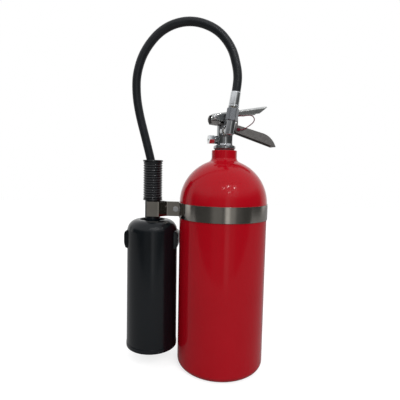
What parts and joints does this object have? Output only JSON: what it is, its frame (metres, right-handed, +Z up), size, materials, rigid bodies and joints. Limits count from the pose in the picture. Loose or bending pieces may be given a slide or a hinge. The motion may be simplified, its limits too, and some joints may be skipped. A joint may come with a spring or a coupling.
{
  "type": "fire extinguisher",
  "caption": "Portable carbon dioxide fire extinguisher with squeeze-grip valve, pull pin, looped hose and a discharge horn held in a fork on the cylinder's band.",
  "frame": {"origin": "centre of the cylinder's flat base, on the floor", "axes": "+Z up along the cylinder's axis; the discharge horn stands at -X; the grips of the valve point to +X, turned 20 degrees towards +Y; the hose port looks towards -Y"},
  "size_m": [0.3079, 0.181, 0.6979],
  "materials": {
    "red_paint": "glossy enamel",
    "dark_plating": "dark polished plating on forged brass",
    "bright_plating": "bright polished plating",
    "lever_steel": "zinc-plated pressed sheet",
    "handle_steel": "dull grey plated pressed sheet",
    "band_steel": "brushed stainless strip",
    "plain_steel": "plated steel",
    "inner_brass": "plain turned",
    "aluminium_tube": "drawn",
    "hose_rubber": "smooth satin",
    "grip_rubber": "moulded satin",
    "horn_plastic": "moulded satin black",
    "seal_rubber": "smooth",
    "seat_plastic": "natural nylon",
    "tamper_plastic": "dark red"
  },
  "bodies": {
    "root": {"cylinder": "red_paint", "valve_body": "dark_plating", "neck_seal": "seal_rubber", "siphon_tube": "aluminium_tube", "valve_seat": "seat_plastic", "spring_retainer": "inner_brass", "stem_bonnet": "dark_plating", "stem_seal": "seal_rubber", "valve_spring": "plain_steel", "burst_disc": "inner_brass", "burst_disc_washer": "inner_brass", "burst_disc_plug": "bright_plating", "carry_handle": "handle_steel", "lever_rivet": "plain_steel", "discharge_elbow": "dark_plating", "elbow_washer": "inner_brass", "hose_nut": "dark_plating", "upper_nipple": "inner_brass", "upper_ferrule": "bright_plating", "hose": "hose_rubber", "tamper_seal": "tamper_plastic", "seal_lock": "tamper_plastic", "horn_band": "band_steel", "band_bolt": "plain_steel", "band_nut": "plain_steel", "band_washers": "plain_steel"},
    "lever": {"squeeze_lever": "lever_steel"},
    "stem": {"valve_stem": "plain_steel", "stem_disc": "seal_rubber"},
    "pin": {"pull_pin": "plain_steel"},
    "ring": {"pull_ring": "plain_steel"},
    "horn": {"horn": "horn_plastic", "horn_coupling": "horn_plastic", "horn_nut": "inner_brass", "orifice": "inner_brass", "lower_nipple": "inner_brass", "lower_ferrule": "plain_steel", "grip": "grip_rubber"}
  },
  "joints": [
    {"name": "lever_squeeze", "type": "hinge", "parent": "root", "child": "lever", "pos_m": [-0.02359, -0.00859, 0.5093], "axis": [-0.342, 0.9397, 0], "range_deg": [0, 14], "stiffness_Nm_per_rad": 1.2, "springref_deg": -20.05, "deforming": ["tamper_seal"]},
    {"name": "stem_travel", "type": "slide", "parent": "root", "child": "stem", "axis": [0, 0, -1], "range_m": [0, 0.0055], "deforming": ["valve_spring"]},
    {"name": "pin_pull", "type": "slide", "parent": "lever", "child": "pin", "axis": [-0.342, 0.9397, 0], "range_m": [0, 0.04], "deforming": ["tamper_seal"]},
    {"name": "ring_swing", "type": "hinge", "parent": "pin", "child": "ring", "pos_m": [0.0099, 0.02542, 0.515], "axis": [0.9397, 0.342, 0], "range_deg": [-10, 85]},
    {"name": "horn_release", "type": "slide", "parent": "root", "child": "horn", "axis": [-1, 0, 0], "range_m": [0, 0.07], "deforming": ["hose"]}
  ],
  "couplings": [
    {"joint": "stem_travel", "follows": "lever_squeeze", "m_per_rad": 0.0222}
  ]
}
